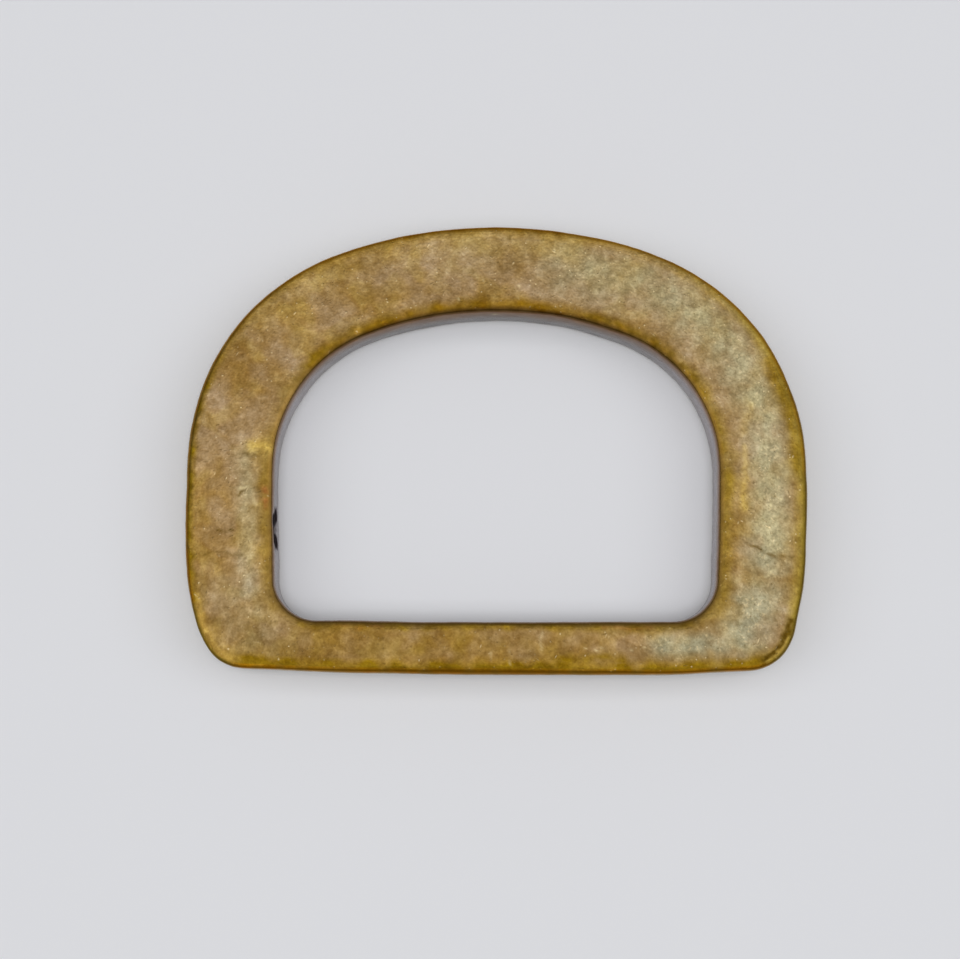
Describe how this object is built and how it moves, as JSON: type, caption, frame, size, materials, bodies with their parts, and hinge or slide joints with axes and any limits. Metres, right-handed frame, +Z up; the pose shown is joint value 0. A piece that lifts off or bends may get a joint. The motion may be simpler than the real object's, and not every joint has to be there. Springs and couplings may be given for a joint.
{
  "type": "d ring",
  "caption": "Flat cast D ring with a straight bar, leaning limbs and an arched crown, rounded worn edges, antique brass finish, for strap or webbing ends",
  "frame": {"origin": "Middle of the bounding box at the height of the lower face, which lies on the surface at z = 0", "axes": "+X along the straight bar, to the right in the picture. +Y from the straight bar towards the arched crown, up in the picture. +Z up, through the thickness"},
  "size_m": [0.035, 0.0254, 0.004],
  "materials": {
    "antique_brass": "antique brass plating on a casting: matt, mottled faces with polished, golden worn edges"
  },
  "bodies": {
    "root": {"d_ring": "antique_brass"}
  },
  "joints": []
}
